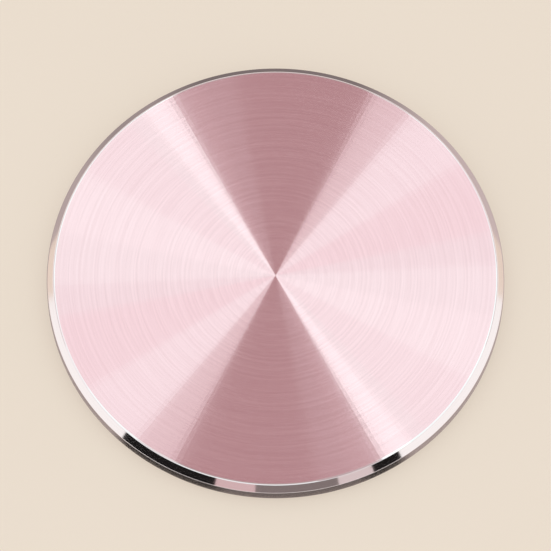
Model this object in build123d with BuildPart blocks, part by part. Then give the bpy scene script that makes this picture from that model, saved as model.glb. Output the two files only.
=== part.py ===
"""A round steel plate that a magnet holds, on the adhesive pad that sticks it down.

The plate is a blank of magnetic steel, turned as one piece: a flat face, a bright cut
chamfer round it and a low straight side. Under it lies a thin die cut adhesive pad,
a little smaller than the plate, so that its edge can't be seen from above.

Millimetres. +Z points out of the turned face, and the origin is the centre of the
pad's sticky underside, on the surface that the plate is stuck to.
"""

import os

from build123d import *

# driving dimensions of the steel disc
disc_diameter = 32.0
disc_thickness = 1.5
rim_chamfer_height = 0.5  # how far the bright cut runs down the side
rim_chamfer_width = 0.5  # how far it runs in over the face
face_edge_radius = 0.20  # burnished edge between the face and the bright cut
side_edge_radius = 0.15  # softer edge between the bright cut and the side
foot_edge_radius = 0.08  # deburred lower edge of the blank

# driving dimensions of the adhesive pad
pad_thickness = 0.3
pad_setback = 0.5  # how far the pad's edge stays inside the disc's side
pad_edge_bulge = 0.05  # how far the soft edge swells between the disc and the surface

# heights and radii that follow from them
disc_radius = disc_diameter / 2
pad_radius = disc_radius - pad_setback
seat_height = pad_thickness
face_height = seat_height + disc_thickness
side_top = face_height - rim_chamfer_height
face_radius = disc_radius - rim_chamfer_width


def edges_at(part, radius, height):
    """The circular edges of a turned part at this radius and height."""
    return [
        edge
        for edge in part.edges().filter_by(GeomType.CIRCLE)
        if abs(edge.radius - radius) < 1e-4 and abs(edge.center().Z - height) < 1e-4
    ]


# Steel disc: half of its section, turned round the Z axis, with its corners broken after that.
with BuildPart() as steel_disc:
    with BuildSketch(Plane.XZ) as disc_section:
        with BuildLine():
            underside = Line((0, seat_height), (disc_radius, seat_height))
            side = Line(underside @ 1, (disc_radius, side_top))
            bright_cut = Line(side @ 1, (face_radius, face_height))
            face = Line(bright_cut @ 1, (0, face_height))
            Line(face @ 1, underside @ 0)
        make_face()
    revolve(axis=Axis.Z)
    fillet(edges_at(steel_disc, face_radius, face_height), face_edge_radius)
    fillet(edges_at(steel_disc, disc_radius, side_top), side_edge_radius)
    fillet(edges_at(steel_disc, disc_radius, seat_height), foot_edge_radius)

steel_disc.part.label = "steel_disc"


# Adhesive pad: a soft layer whose edge swells a little between its two flat faces.
with BuildPart() as adhesive_pad:
    with BuildSketch(Plane.XZ) as pad_section:
        with BuildLine():
            sticky_side = Line((0, 0), (pad_radius, 0))
            edge = ThreePointArc(
                sticky_side @ 1,
                (pad_radius + pad_edge_bulge, pad_thickness / 2),
                (pad_radius, pad_thickness),
            )
            disc_side = Line(edge @ 1, (0, pad_thickness))
            Line(disc_side @ 1, sticky_side @ 0)
        make_face()
    revolve(axis=Axis.Z)

adhesive_pad.part.label = "adhesive_pad"


os.makedirs("parts", exist_ok=True)
for piece in (steel_disc, adhesive_pad):
    export_step(piece.part, f"parts/{piece.part.label}.step")
    print(piece.part.label, round(piece.part.volume, 2), "mm3")
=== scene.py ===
# %% [markdown]
# # A spin-turned magnet plate
#
# The object is a thin round plate of steel, 32 mm across, that a magnet can grip. Its
# flat face was finished on a lathe, so it carries hundreds of fine circular lines, and
# those lines are what makes the light fall on it in two bright fans and two dark ones.
# A bright cut runs round its edge like a narrow mirror, and a thin adhesive pad lies
# underneath.
#
# There is little shape here, so the lesson is about finish: how a turned surface bends
# reflections, and how a small studio is set up to show that.

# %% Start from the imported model
import math

import bpy
import bmesh
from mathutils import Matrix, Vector


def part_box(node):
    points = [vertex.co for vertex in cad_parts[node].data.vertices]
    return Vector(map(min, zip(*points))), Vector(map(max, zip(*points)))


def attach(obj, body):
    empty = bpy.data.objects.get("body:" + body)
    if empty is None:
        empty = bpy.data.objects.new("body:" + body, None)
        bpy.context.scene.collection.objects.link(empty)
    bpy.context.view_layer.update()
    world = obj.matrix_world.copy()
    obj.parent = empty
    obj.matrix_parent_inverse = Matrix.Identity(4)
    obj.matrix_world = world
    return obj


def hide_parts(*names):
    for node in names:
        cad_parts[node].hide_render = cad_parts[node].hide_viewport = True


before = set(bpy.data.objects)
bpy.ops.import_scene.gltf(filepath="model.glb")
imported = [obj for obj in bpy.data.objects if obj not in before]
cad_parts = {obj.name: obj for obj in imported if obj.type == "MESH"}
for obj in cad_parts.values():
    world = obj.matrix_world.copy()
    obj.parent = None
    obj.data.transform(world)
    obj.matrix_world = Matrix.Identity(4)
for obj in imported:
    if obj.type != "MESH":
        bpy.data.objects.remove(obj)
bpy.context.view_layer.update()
print("pieces in the frame:", sorted(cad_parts))

# %% [markdown]
# The frame is in metres, and so is everything here. Small sizes read better in
# millimetres, so one constant turns them into metres. The plate's radius and its
# heights are measured from the frame. Its box can't tell how the edges are cut and
# rounded, so those five sizes are the ones that the solid was made with.

# %% Measure the plate
MM = 0.001

disc_low, disc_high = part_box("steel_disc")
pad_low, pad_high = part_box("adhesive_pad")
disc_radius = (disc_high.x - disc_low.x) / 2
foot_height = disc_low.z
face_height = disc_high.z

bright_cut_width = 0.5 * MM
bright_cut_height = 0.5 * MM
face_edge_radius = 0.20 * MM
side_edge_radius = 0.15 * MM
foot_edge_radius = 0.08 * MM
print(f"disc {2 * disc_radius / MM:.1f} mm across")
print(f"its foot at {foot_height / MM:.2f} mm and its face at {face_height / MM:.2f} mm")

# %% [markdown]
# ## Camera
#
# The camera stands 43 cm from the plate and looks down on it at 68 degrees. Distance
# and tilt set how much the circle is squashed and how much of the near side shows. The
# lens only crops: a long one fills the picture with the plate and changes nothing else.

# %% Place the camera
camera_distance = 0.4297
camera_elevation = math.radians(68.36)
picture_width = 38.5 * MM
sensor_width = 36.0
nearest_seen = 10 * MM

camera_data = bpy.data.cameras.new("camera")
camera_data.sensor_width = sensor_width
camera_data.lens = sensor_width * camera_distance / picture_width
camera_data.clip_start = nearest_seen
camera = bpy.data.objects.new("camera", camera_data)
camera.location = (
    0,
    -camera_distance * math.cos(camera_elevation),
    face_height + camera_distance * math.sin(camera_elevation),
)
camera.rotation_euler = (math.pi / 2 - camera_elevation, 0, 0)
bpy.context.scene.collection.objects.link(camera)
bpy.context.scene.camera = camera
print(f"lens {camera_data.lens:.0f} mm")

# %% [markdown]
# ## The turned plate
#
# A lathe makes a body of revolution, so the mesh is made the same way: a single point
# is drawn along half of the section, and that line is spun round the axis. The other
# way would be a cylinder with bevels, but a bevel gives no say over how the rings lie,
# and the rings matter here, because the light follows them.
#
# The line runs from the middle of the underside outwards, up the side, over the bright
# cut and back along the face to the middle. Every corner is broken by a small radius:
# no real edge is perfectly sharp, and the thin glint along it is how we see that. The
# rings on the two flat sides are shares of their radius, and lie closer near the middle
# of the face, where the grain turns fastest.

# %% Draw the half section
corner_steps = 5
hold_distance = 0.02 * MM


def rounded_corner(before, corner, after, radius):
    """Points round a corner of the section: an arc, and one point just outside each end.

    The outer two hold the flat faces flat, because smooth shading would bend them.
    """
    corner = Vector(corner)
    towards = (Vector(before) - corner).normalized()
    away = (Vector(after) - corner).normalized()
    half_angle = towards.angle(away) / 2
    reach = radius / math.tan(half_angle)
    centre = corner + (towards + away).normalized() * radius / math.sin(half_angle)
    start = corner + towards * reach - centre
    end = corner + away * reach - centre
    turn = -start.angle_signed(end)
    points = [corner + towards * (reach + hold_distance)]
    for step in range(corner_steps + 1):
        cosine = math.cos(turn * step / corner_steps)
        sine = math.sin(turn * step / corner_steps)
        points.append(centre + Vector((
            start.x * cosine - start.y * sine,
            start.x * sine + start.y * cosine,
        )))
    points.append(corner + away * (reach + hold_distance))
    return [tuple(point) for point in points]


underside_centre = (0, foot_height)
foot_corner = (disc_radius, foot_height)
side_corner = (disc_radius, face_height - bright_cut_height)
face_corner = (disc_radius - bright_cut_width, face_height)
face_centre = (0, face_height)

underside_rings = [0.25, 0.5, 0.75, 0.92]
face_rings = [
    0.98, 0.92, 0.84, 0.75, 0.65, 0.55, 0.45,
    0.35, 0.26, 0.18, 0.11, 0.06, 0.03, 0.012,
]

section = [underside_centre]
section += [(share * disc_radius, foot_height) for share in underside_rings]
section += rounded_corner(underside_centre, foot_corner, side_corner, foot_edge_radius)
section += rounded_corner(foot_corner, side_corner, face_corner, side_edge_radius)
section += rounded_corner(side_corner, face_corner, face_centre, face_edge_radius)
section += [(share * face_corner[0], face_height) for share in face_rings]
section += [face_centre]
print(len(section), "points in the half section")

# %% [markdown]
# `spin` needs a mesh in edit mode. A new plane gives four points, all but one are
# deleted, and the last one is carried to the start of the section. Each extrusion then
# pulls out one more point. With the spin done, the doubled points at the seam and in
# the two middles are merged, and the normals are made to point outwards.

# %% Spin it round the axis
spin_steps = 256
full_turn = 2 * math.pi
merge_distance = 1e-6


def deselect_all():
    """Nothing stays selected, because an operator works on all that is."""
    bpy.ops.object.select_all(action="DESELECT")


def turned_piece(name, points, steps, angle=full_turn):
    """Spins a half section, a list of (radius, height), round Z, by this angle."""
    deselect_all()
    bpy.ops.mesh.primitive_plane_add(size=MM)
    piece = bpy.context.active_object
    piece.name = name
    bpy.ops.object.mode_set(mode="EDIT")
    mesh = bmesh.from_edit_mesh(piece.data)
    bpy.ops.mesh.select_all(action="DESELECT")
    mesh.verts.ensure_lookup_table()
    for vertex in mesh.verts[1:]:
        vertex.select = True
    bmesh.update_edit_mesh(piece.data)
    bpy.ops.mesh.delete(type="VERT")
    bpy.ops.mesh.select_all(action="SELECT")
    mesh = bmesh.from_edit_mesh(piece.data)
    start = next(iter(mesh.verts)).co.copy()
    here = Vector((points[0][0], 0, points[0][1]))
    bpy.ops.transform.translate(value=here - start)
    for radius, height in points[1:]:
        there = Vector((radius, 0, height))
        bpy.ops.mesh.extrude_vertices_move(TRANSFORM_OT_translate={"value": there - here})
        here = there
    bpy.ops.mesh.select_all(action="SELECT")
    bpy.ops.mesh.spin(steps=steps, angle=angle, center=(0, 0, 0), axis=(0, 0, 1))
    bpy.ops.mesh.select_all(action="SELECT")
    bpy.ops.mesh.remove_doubles(threshold=merge_distance)
    bpy.ops.mesh.normals_make_consistent(inside=False)
    bpy.ops.object.mode_set(mode="OBJECT")
    return piece


plate = turned_piece("turned_plate", section, spin_steps)
print(len(plate.data.vertices), "points,", len(plate.data.polygons), "faces")

# %% [markdown]
# A turned surface has a grain, and its reflections follow it. To say which way the grain
# runs, the plate gets a UV map that unrolls it as the lathe made it: U is the distance
# along the section and V is the turn round the axis. A UV map laid out by `smart_project`
# would bake well, but its directions would mean nothing to the grain.
#
# The name of the map is the one that the export looks for, so the exported model keeps it.

# %% Unroll the plate
LATHE_MAP = "OFBake"


def distances_along(points):
    """How far along the section each of its points lies, in metres."""
    distances = [0.0]
    for last, point in zip(points, points[1:]):
        distances.append(distances[-1] + math.dist(last, point))
    return distances


def unroll(piece, points):
    """U is the share of the section's length, and V the share of a full turn."""
    distances = distances_along(points)
    mesh = piece.data
    across = []
    for vertex in mesh.vertices:
        place = (math.hypot(vertex.co.x, vertex.co.y), vertex.co.z)
        nearest = min(range(len(points)), key=lambda i: math.dist(points[i], place))
        across.append(distances[nearest] / distances[-1])
    uv_map = mesh.uv_layers.new(name=LATHE_MAP)
    for face in mesh.polygons:
        middle = math.atan2(face.center.y, face.center.x) % full_turn
        for loop in face.loop_indices:
            index = mesh.loops[loop].vertex_index
            corner = mesh.vertices[index].co
            turn = middle
            if math.hypot(corner.x, corner.y) > merge_distance:
                turn += math.remainder(math.atan2(corner.y, corner.x) - middle, full_turn)
            uv_map.data[loop].uv = (across[index], turn / full_turn)
    return distances[-1]


section_length = unroll(plate, section)
print(f"section {section_length / MM:.2f} mm long")

# %% [markdown]
# ## Turning lines
#
# The cutter leaves one fine spiral groove. Its even pitch is too fine to see, but its
# slopes throw the light in and out, across the rings and never along them, and that is
# what pulls every lamp out into a fan with crisp edges. On top of it lie the marks one
# can see: faint lines where a pass went a little deeper, and slow bands where the tool
# pressed harder. All of it depends on the distance along the section, which the lathe
# map gives, so the same group works on the face, the bright cut and the side.
#
# The group puts out masks and a height only. The shader stays in each material.

# %% A node group for turning lines
ring_detail = 3.0
band_detail = 2.0
scratch_detail = 2.0
lines_per_band = 14.0
scratch_spread = 2.5  # the higher it is, the less far a scratch runs round
no_line, full_line = 0.75, 1.25  # between these two sums of the noises a line fades in
line_height = 0.3  # of a line that shows, beside a groove of 1


def add_node(tree, kind, **settings):
    """A new node of this kind with these settings."""
    node = tree.nodes.new(kind)
    for name, value in settings.items():
        setattr(node, name, value)
    return node


def add_math(tree, operation, *values):
    """A Math node; each value is a number or the socket that feeds it."""
    node = add_node(tree, "ShaderNodeMath", operation=operation)
    for socket, value in zip(node.inputs, values):
        if isinstance(value, (int, float)):
            socket.default_value = value
        else:
            tree.links.new(value, socket)
    return node.outputs[0]


def line_noise(tree, distance, size, detail):
    """Noise that changes along a distance only, with features of this size."""
    noise = add_node(tree, "ShaderNodeTexNoise", noise_dimensions="1D")
    noise.inputs["Scale"].default_value = 1.0
    noise.inputs["Detail"].default_value = detail
    tree.links.new(add_math(tree, "DIVIDE", distance, size), noise.inputs["W"])
    return noise.outputs["Fac"]


def turning_lines_group():
    """Masks of a lathe's marks, from 0 to 1, and a height for a Bump node. Sizes are in mm."""
    group = bpy.data.node_groups.new("turning lines", "ShaderNodeTree")
    for side, kind, name in (
        ("INPUT", "NodeSocketFloat", "Distance"),
        ("INPUT", "NodeSocketVector", "Position"),
        ("INPUT", "NodeSocketFloat", "Pitch"),
        ("INPUT", "NodeSocketFloat", "Line Width"),
        ("OUTPUT", "NodeSocketFloat", "Lines"),
        ("OUTPUT", "NodeSocketFloat", "Bands"),
        ("OUTPUT", "NodeSocketFloat", "Height"),
    ):
        group.interface.new_socket(name, in_out=side, socket_type=kind)
    given = add_node(group, "NodeGroupInput").outputs
    result = add_node(group, "NodeGroupOutput").inputs
    distance = given["Distance"]

    passes = add_math(group, "DIVIDE", distance, given["Pitch"])
    wave = add_math(group, "SINE", add_math(group, "MULTIPLY", passes, full_turn))
    groove = add_math(group, "MULTIPLY_ADD", wave, 0.5, 0.5)

    rings = line_noise(group, distance, given["Line Width"], ring_detail)
    band_width = add_math(group, "MULTIPLY", given["Line Width"], lines_per_band)
    bands = line_noise(group, distance, band_width, band_detail)

    # The direction from the axis, with the distance as its height, gives scratches that
    # run a little way round and fade.
    flat = add_node(group, "ShaderNodeVectorMath", operation="MULTIPLY")
    flat.inputs[1].default_value = (1, 1, 0)
    group.links.new(given["Position"], flat.inputs[0])
    outward = add_node(group, "ShaderNodeVectorMath", operation="NORMALIZE")
    group.links.new(flat.outputs[0], outward.inputs[0])
    parts = add_node(group, "ShaderNodeSeparateXYZ")
    group.links.new(outward.outputs[0], parts.inputs[0])
    around = add_node(group, "ShaderNodeCombineXYZ")
    for axis in ("X", "Y"):
        spread = add_math(group, "MULTIPLY", parts.outputs[axis], scratch_spread)
        group.links.new(spread, around.inputs[axis])
    step = add_math(group, "DIVIDE", distance, given["Line Width"])
    group.links.new(step, around.inputs["Z"])
    scratch = add_node(group, "ShaderNodeTexNoise", noise_dimensions="3D")
    scratch.inputs["Scale"].default_value = 1.0
    scratch.inputs["Detail"].default_value = scratch_detail
    group.links.new(around.outputs[0], scratch.inputs["Vector"])

    both = add_math(group, "ADD", rings, scratch.outputs["Fac"])
    lines = add_node(group, "ShaderNodeMapRange")
    lines.inputs["From Min"].default_value = no_line
    lines.inputs["From Max"].default_value = full_line
    group.links.new(both, lines.inputs["Value"])
    lines = lines.outputs["Result"]
    group.links.new(lines, result["Lines"])
    group.links.new(bands, result["Bands"])
    height = add_math(group, "MULTIPLY_ADD", lines, line_height, groove)
    group.links.new(height, result["Height"])
    return group


turning_lines = turning_lines_group()
sockets = [socket.name for socket in turning_lines.interface.items_tree]
print("group:", turning_lines.name, sockets)

# %% [markdown]
# ## Metal finishes
#
# Three finishes share one recipe. The metal is rose tinted steel. Its roughness differs
# with direction: along a groove the metal is smooth, across the grooves it is rough. The
# Tangent node gives the direction, from the lathe map, and the anisotropy is set on the
# shader itself. The groove's slope sets how far the fans reach.
#
# Bare metal goes white where one looks along it. The thin rose film on the face keeps its
# colour there, and on a metal `Specular Tint` is the tint of that grazing look.
#
# The Bump node finds a slope from the height at points a little apart, and Filter Width
# sets how far. The groove is finer than a pixel, so the points are kept close together:
# further apart, they would miss whole grooves and draw a pattern that isn't there.

# %% A turned metal
line_share, band_share = 0.7, 0.3  # of the change from deep to pale
bump_filter = 0.01


def metal_finish(
    name, pale, deep, roughness, anisotropy, pitch, slope, line_width, rough_change,
    grazing=(1, 1, 1),
):
    """Turned metal. pitch and line_width are in mm, and slope is the groove's steepest rise."""
    material = bpy.data.materials.new(name)
    material.use_nodes = True
    tree = material.node_tree
    shader = tree.nodes["Principled BSDF"]
    shader.inputs["Metallic"].default_value = 1.0
    shader.inputs["Anisotropic"].default_value = anisotropy
    shader.inputs["Specular Tint"].default_value = (*grazing, 1)

    unrolled = add_node(tree, "ShaderNodeUVMap", uv_map=LATHE_MAP)
    parts = add_node(tree, "ShaderNodeSeparateXYZ")
    tree.links.new(unrolled.outputs["UV"], parts.inputs[0])
    distance = add_math(tree, "MULTIPLY", parts.outputs["X"], section_length / MM)

    lines = add_node(tree, "ShaderNodeGroup", node_tree=turning_lines)
    lines.inputs["Pitch"].default_value = pitch
    lines.inputs["Line Width"].default_value = line_width
    tree.links.new(distance, lines.inputs["Distance"])
    position = add_node(tree, "ShaderNodeTexCoord").outputs["Object"]
    tree.links.new(position, lines.inputs["Position"])

    tone = add_node(tree, "ShaderNodeMix", data_type="RGBA")
    tone.inputs["A"].default_value = (*deep, 1)
    tone.inputs["B"].default_value = (*pale, 1)
    fine = add_math(tree, "MULTIPLY", lines.outputs["Lines"], line_share)
    share = add_math(tree, "MULTIPLY_ADD", lines.outputs["Bands"], band_share, fine)
    tree.links.new(share, tone.inputs["Factor"])
    tree.links.new(tone.outputs["Result"], shader.inputs["Base Color"])

    smoothest = roughness - rough_change / 2
    worn = add_math(tree, "MULTIPLY_ADD", lines.outputs["Bands"], rough_change, smoothest)
    tree.links.new(worn, shader.inputs["Roughness"])

    bump = add_node(tree, "ShaderNodeBump")
    bump.inputs["Distance"].default_value = slope * pitch * MM / math.pi
    bump.inputs["Filter Width"].default_value = bump_filter
    tree.links.new(lines.outputs["Height"], bump.inputs["Height"])
    tree.links.new(bump.outputs["Normal"], shader.inputs["Normal"])

    grain = add_node(tree, "ShaderNodeTangent", direction_type="UV_MAP", uv_map=LATHE_MAP)
    tree.links.new(grain.outputs["Tangent"], shader.inputs["Tangent"])
    return material


turned_face = metal_finish(
    "turned_face",
    pale=(0.955, 0.68, 0.71),
    deep=(0.89, 0.61, 0.64),
    roughness=0.10,
    anisotropy=1.0,
    pitch=0.05,
    slope=0.25,
    line_width=0.16,
    rough_change=0.02,
    grazing=(1.0, 0.85, 0.86),
)
bright_cut = metal_finish(
    "bright_cut",
    pale=(0.96, 0.87, 0.87),
    deep=(0.92, 0.82, 0.82),
    roughness=0.06,
    anisotropy=0.5,
    pitch=0.05,
    slope=0.0,
    line_width=0.08,
    rough_change=0.02,
)
turned_side = metal_finish(
    "turned_side",
    pale=(0.70, 0.62, 0.60),
    deep=(0.58, 0.50, 0.48),
    roughness=0.26,
    anisotropy=0.7,
    pitch=0.09,
    slope=0.10,
    line_width=0.12,
    rough_change=0.08,
)
print("metals:", turned_face.name, bright_cut.name, turned_side.name)

# %% [markdown]
# Which finish a face gets follows from where it points. Level faces at the top are the
# turned face. Faces that lean, up to a little steeper than the cut itself, are the bright
# cut, and the rest is the blank's own steel: the side, its broken edges and the underside.

# %% Put each finish in its place
level = 0.999
steepest_cut = math.cos(math.radians(55))


def finish_of(face):
    """The number of the finish that this face of the plate wears."""
    if face.normal.z > level:
        return 0
    if face.normal.z > steepest_cut:
        return 1
    return 2


for material in (turned_face, bright_cut, turned_side):
    plate.data.materials.append(material)
for face in plate.data.polygons:
    face.material_index = finish_of(face)

deselect_all()
plate.select_set(True)
bpy.context.view_layer.objects.active = plate
bpy.ops.object.shade_smooth()
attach(plate, "root")
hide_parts("steel_disc")
counts = [sum(face.material_index == i for face in plate.data.polygons) for i in range(3)]
print("faces of each finish:", counts)

# %% [markdown]
# ## Adhesive pad
#
# The pad is right as the frame has it, so it keeps its mesh and only gets a material: a
# dark acrylic foam, matt and faintly mottled, with fine closed cells that show as tiny
# pits on its edge.

# %% Foam for the pad
mottles_per_mm = 0.5
mottle_detail = 3.0
cells_per_mm = 9
cell_depth = 0.01 * MM
foam_roughness, foam_rough_change = 0.55, 0.2


def foam_finish(name):
    """Matt dark foam with a fine cell pattern."""
    material = bpy.data.materials.new(name)
    material.use_nodes = True
    tree = material.node_tree
    shader = tree.nodes["Principled BSDF"]
    position = add_node(tree, "ShaderNodeTexCoord").outputs["Object"]

    mottle = add_node(tree, "ShaderNodeTexNoise")
    mottle.inputs["Scale"].default_value = mottles_per_mm / MM
    mottle.inputs["Detail"].default_value = mottle_detail
    tree.links.new(position, mottle.inputs["Vector"])
    tone = add_node(tree, "ShaderNodeMix", data_type="RGBA")
    tone.inputs["A"].default_value = (0.045, 0.045, 0.05, 1)
    tone.inputs["B"].default_value = (0.10, 0.10, 0.105, 1)
    tree.links.new(mottle.outputs["Fac"], tone.inputs["Factor"])
    tree.links.new(tone.outputs["Result"], shader.inputs["Base Color"])

    cells = add_node(tree, "ShaderNodeTexVoronoi")
    cells.inputs["Scale"].default_value = cells_per_mm / MM
    tree.links.new(position, cells.inputs["Vector"])
    bump = add_node(tree, "ShaderNodeBump")
    bump.inputs["Distance"].default_value = cell_depth
    tree.links.new(cells.outputs["Distance"], bump.inputs["Height"])
    tree.links.new(bump.outputs["Normal"], shader.inputs["Normal"])

    mottled = mottle.outputs["Fac"]
    rough = add_math(tree, "MULTIPLY_ADD", mottled, foam_rough_change, foam_roughness)
    tree.links.new(rough, shader.inputs["Roughness"])
    return material


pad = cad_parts["adhesive_pad"]
pad.data.materials.clear()
pad.data.materials.append(foam_finish("acrylic_foam"))
print("pad:", round((pad_high.z - pad_low.z) / MM, 2), "mm thick")

# %% [markdown]
# ## Floor
#
# A wide, pale sheet under the plate. It is part of the stage, not of the object. Its
# colour is warm and a little uneven, as painted board is.
#
# Part of what the camera sees of it is the board's own light, at the board's own colour,
# and the same goes for what is mirrored or seen through something. That keeps it pale and
# the shadow on it soft, and it lights nothing. The sheet lies a hair below the pad, because
# two faces at one height would flicker.

# %% Lay the floor
floor_width = 8.0
floor_gap = 0.02 * MM
own_light = 0.6
clouds_per_metre = 25


def board_finish(name):
    """Pale matt board. What the camera and the metal see of it is partly its own light."""
    material = bpy.data.materials.new(name)
    material.use_nodes = True
    tree = material.node_tree
    shader = tree.nodes["Principled BSDF"]
    cloud = add_node(tree, "ShaderNodeTexNoise")
    cloud.inputs["Scale"].default_value = clouds_per_metre
    position = add_node(tree, "ShaderNodeTexCoord").outputs["Object"]
    tree.links.new(position, cloud.inputs["Vector"])
    tone = add_node(tree, "ShaderNodeMix", data_type="RGBA")
    tone.inputs["A"].default_value = (0.86, 0.745, 0.63, 1)
    tone.inputs["B"].default_value = (0.89, 0.775, 0.66, 1)
    tree.links.new(cloud.outputs["Fac"], tone.inputs["Factor"])
    tree.links.new(tone.outputs["Result"], shader.inputs["Base Color"])
    shader.inputs["Specular IOR Level"].default_value = 0.0

    lit_paper = add_node(tree, "ShaderNodeEmission")
    tree.links.new(tone.outputs["Result"], lit_paper.inputs["Color"])
    path = add_node(tree, "ShaderNodeLightPath").outputs
    seen = add_math(tree, "MAXIMUM", path["Is Camera Ray"], path["Is Glossy Ray"])
    seen = add_math(tree, "MAXIMUM", seen, path["Is Transmission Ray"])
    both = add_node(tree, "ShaderNodeMixShader")
    tree.links.new(add_math(tree, "MULTIPLY", seen, own_light), both.inputs["Fac"])
    tree.links.new(shader.outputs[0], both.inputs[1])
    tree.links.new(lit_paper.outputs[0], both.inputs[2])
    tree.links.new(both.outputs[0], tree.nodes["Material Output"].inputs["Surface"])
    return material


deselect_all()
bpy.ops.mesh.primitive_plane_add(size=floor_width, location=(0, 0, pad_low.z - floor_gap))
floor = bpy.context.active_object
floor.name = "floor"
floor.data.materials.append(board_finish("pale_board"))
print("floor at", floor.location.z)

# %% [markdown]
# ## Studio light
#
# A plain mirror would show one spot of the room. Seen across the grooves of a turned
# disc, that spot is drawn out into a curve, and each direction from the disc's centre
# draws its own. Looked at from straight above, all those curves are straight lines that
# cross at the spot. So the light is a dome, cut into slices by upright planes through
# the spot: each slice is mirrored as one fan, with a crisp edge where the planes are.
# Where the dome has no slice, the metal shows the dim room, and that is the dark fan.
#
# A real room isn't one even tone, so the slices differ a little too: some are paler, some
# pinker. That is what gives the bright fans their soft streaks. The two slices of dusk
# reach into the dark fan and make one side of it a little lighter. The slices are lamps
# in the shape of a mesh, so they belong to the stage.
#
# Directions are in degrees round the spot: 0 is to the right, and the camera is at -90.

# %% Cut a dome of light into slices
dome_radius = 1.2
dome_segments, dome_rings = 64, 32
dome_foot = 36
zenith = 90
mirror_spot = Vector((0, dome_radius * math.cos(camera_elevation), 0))
fan_strength = 1.03
frost = (0.98, 1.13, 1.125)
daylight = (1.0, 1.11, 1.115)
blush = (1.0, 1.04, 1.055)
haze = (1.0, 0.98, 0.99)
dusk = (1.0, 0.81, 0.83)


def glow(name, colour, strength):
    """A plain light-giving surface."""
    material = bpy.data.materials.new(name)
    material.use_nodes = True
    tree = material.node_tree
    tree.nodes.clear()
    lamp = add_node(tree, "ShaderNodeEmission")
    lamp.inputs["Color"].default_value = (*colour, 1)
    lamp.inputs["Strength"].default_value = strength
    result = add_node(tree, "ShaderNodeOutputMaterial")
    tree.links.new(lamp.outputs[0], result.inputs["Surface"])
    return material


def cut_away(point, keep):
    """Cuts the selected mesh through a point, and keeps the side that keep points to."""
    bpy.ops.mesh.select_all(action="SELECT")
    bpy.ops.mesh.bisect(plane_co=point, plane_no=keep, clear_inner=True)


def at_climb(degrees):
    """The height of the dome at this many degrees above the floor."""
    return dome_radius * math.sin(math.radians(degrees))


def dome_slice(name, start, end, strength, colour, lowest=dome_foot, highest=zenith):
    """The slice of the dome from start to end, in degrees round the mirror spot.

    lowest and highest are how far above the floor it begins and ends, in degrees.
    """
    deselect_all()
    bpy.ops.mesh.primitive_uv_sphere_add(
        segments=dome_segments, ring_count=dome_rings, radius=dome_radius,
    )
    piece = bpy.context.active_object
    piece.name = name
    first, last = math.radians(start), math.radians(end)
    bpy.ops.object.mode_set(mode="EDIT")
    cut_away((0, 0, at_climb(lowest)), (0, 0, 1))
    if highest < zenith:
        cut_away((0, 0, at_climb(highest)), (0, 0, -1))
    cut_away(mirror_spot, (-math.sin(first), math.cos(first), 0))
    cut_away(mirror_spot, (math.sin(last), -math.cos(last), 0))
    bpy.ops.object.mode_set(mode="OBJECT")
    piece.data.materials.append(glow(name, colour, strength * fan_strength))
    piece.visible_camera = False


slices = (  # start, end, strength, colour
    (-79, -70, 0.53, dusk),
    (-70, -61.5, 0.57, dusk),
    (-61.5, -53, 1.19, frost),
    (-53, -48, 1.01, frost),
    (-48, -30, 1.00, daylight),
    (-30, -12, 1.06, frost),
    (-12, 3, 1.02, frost),
    (3, 12, 0.96, daylight),
    (12, 33, 0.965, blush),
    (33, 52, 1.00, daylight),
    (52, 63.5, 0.82, haze),
)
for number, (start, end, strength, colour) in enumerate(slices):
    dome_slice(f"right_slice_{number}", start, end, strength, colour)
    dome_slice(f"left_slice_{number}", start + 180, end + 180, strength, colour)
print(len(slices), "slices on each side of the spot at", round(mirror_spot.y, 3), "m")

# %% [markdown]
# The front of the dome stays open only high up, where the dark fans look. Lower down it
# is closed, and reaches nearer to the floor. From here that shows just as a thin line
# along the near rim, but it keeps the plate from going dull when it is seen from behind.

# %% Close the front of the dome
front_foot = 24
front_top = 62
front_strength = 0.9
front_slices = (  # name, start, end, highest
    ("front_left", -160, -116.5, dome_foot),
    ("front_middle", -116.5, -79, front_top),
    ("front_right", -79, -20, dome_foot),
)
for name, start, end, highest in front_slices:
    dome_slice(name, start, end, front_strength, daylight, front_foot, highest)
print("the front reaches from", front_foot, "to", front_top, "degrees above the floor")

# %% [markdown]
# The bright cut is a narrow mirror, and along the near rim it shows what stands low down
# in front of the plate. Two black cards there make the dashes that tell the eye that
# the cut is polished, and the grey and rose ones between them give the rest its tones.
# They stand on an arc round the plate, and only reflections see them.

# %% Stand cards round the front
card_distance = 0.5
card_low, card_high = 0.095, 0.22
card_step = 0.05  # radians from one edge of a card's sweep to the next
black = (0.01, 0.009, 0.009)
front_cards = (  # start, end, colour
    (-146, -111, black),
    (-111, -97, (0.66, 0.49, 0.50)),
    (-97, -68, (0.22, 0.19, 0.185)),
    (-68, -55.5, (0.70, 0.62, 0.62)),
    (-55.5, -45, black),
)


def card(name, points, start, end, material):
    """A card that only reflections see: a line swept round the plate, in degrees."""
    angle = math.radians(end - start)
    piece = turned_piece(name, points, max(2, round(angle / card_step)), -angle)
    piece.rotation_euler.z = math.radians(start)
    piece.data.materials.append(material)
    piece.visible_camera = False
    piece.visible_diffuse = False
    piece.visible_shadow = False


upright = [(card_distance, card_low), (card_distance, card_high)]
for number, (start, end, colour) in enumerate(front_cards):
    name = f"front_card_{number}"
    card(name, upright, start, end, glow(name, colour, 1.0))
print(len(front_cards), "cards, from", card_low, "to", card_high, "m above the floor")

# %% [markdown]
# One more card lies flat round the plate, just above the floor. Without it, the far side of
# the bright cut and the low side would mirror the pale floor and lose themselves in it. Its
# tone changes on the way round, so the plate gets a thin outline, darker here than there.

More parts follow.
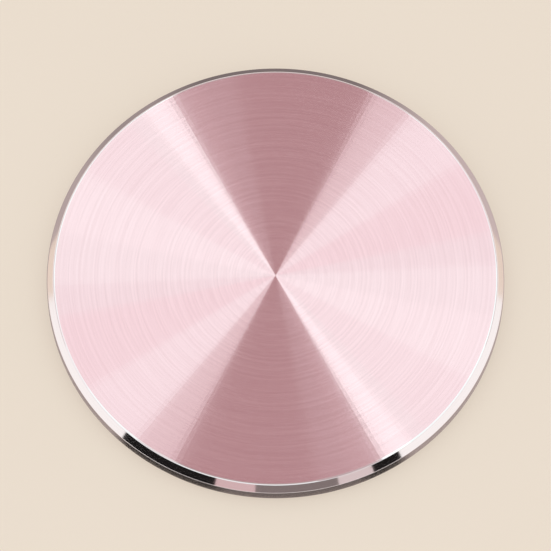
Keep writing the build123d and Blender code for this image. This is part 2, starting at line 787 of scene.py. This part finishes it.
# %% Lay a ring round the foot
foot_card_height = 0.05 * MM
foot_card_inside = disc_radius + 0.1 * MM
foot_card_outside = disc_radius + 14 * MM
foot_tint = (1.0, 0.87, 0.85)
foot_tones = (  # direction in degrees, tone
    (-180, 0.50), (-136, 0.50), (-131, 0.03), (-106, 0.03), (-102, 0.20), (-69, 0.20),
    (-65, 0.03), (-57, 0.03), (-53, 0.52), (0, 0.62), (50, 0.55), (70, 0.22),
    (108, 0.20), (122, 0.36), (132, 0.34), (145, 0.46), (180, 0.50),
)


def ring_glow(name, tint, tones):
    """A light-giving surface whose tone follows the direction from the middle, in degrees."""
    material = glow(name, (1, 1, 1), 1.0)
    tree = material.node_tree
    around = add_node(tree, "ShaderNodeTexGradient", gradient_type="RADIAL")
    position = add_node(tree, "ShaderNodeTexCoord").outputs["Object"]
    tree.links.new(position, around.inputs["Vector"])
    ramp = add_node(tree, "ShaderNodeValToRGB")
    tree.links.new(around.outputs["Fac"], ramp.inputs["Fac"])
    stops = ramp.color_ramp.elements
    while len(stops) < len(tones):
        stops.new(1.0)
    for stop, (direction, tone) in zip(stops, tones):
        stop.position = direction / 360 + 0.5
        stop.color = (*(part * tone for part in tint), 1)
    tree.links.new(ramp.outputs["Color"], tree.nodes["Emission"].inputs["Color"])
    return material


flat_ring = [(foot_card_inside, foot_card_height), (foot_card_outside, foot_card_height)]
card("foot_card", flat_ring, 0, 360, ring_glow("foot_card", foot_tint, foot_tones))
print(len(foot_tones), "tones round the foot")

# %% [markdown]
# What is left is the room itself. Low down it is light, which is what the bright cut shows
# at the sides. Higher up it is dim and rose, and the dark fans show that. The view
# transform is set to Standard, so that a colour renders as it is written.

# %% Light the room
room_low = (1.0, 1.02, 1.01)
room_high = (0.48, 0.352, 0.36)
light_below = math.sin(math.radians(16))
dim_above = math.sin(math.radians(30))


def room_world(name):
    """A world that is light near the horizon and dim above."""
    world = bpy.data.worlds.new(name)
    world.use_nodes = True
    tree = world.node_tree
    looked_at = add_node(tree, "ShaderNodeTexCoord").outputs["Generated"]
    direction = add_node(tree, "ShaderNodeSeparateXYZ")
    tree.links.new(looked_at, direction.inputs[0])
    climb = add_node(tree, "ShaderNodeMapRange", interpolation_type="SMOOTHSTEP")
    climb.inputs["From Min"].default_value = light_below
    climb.inputs["From Max"].default_value = dim_above
    tree.links.new(direction.outputs["Z"], climb.inputs["Value"])
    room = add_node(tree, "ShaderNodeMix", data_type="RGBA")
    room.inputs["A"].default_value = (*room_low, 1)
    room.inputs["B"].default_value = (*room_high, 1)
    tree.links.new(climb.outputs["Result"], room.inputs["Factor"])
    tree.links.new(room.outputs["Result"], tree.nodes["Background"].inputs["Color"])
    return world


bpy.context.scene.world = room_world("dim_room")
bpy.context.scene.view_settings.view_transform = "Standard"
print("room:", bpy.context.scene.world.name)
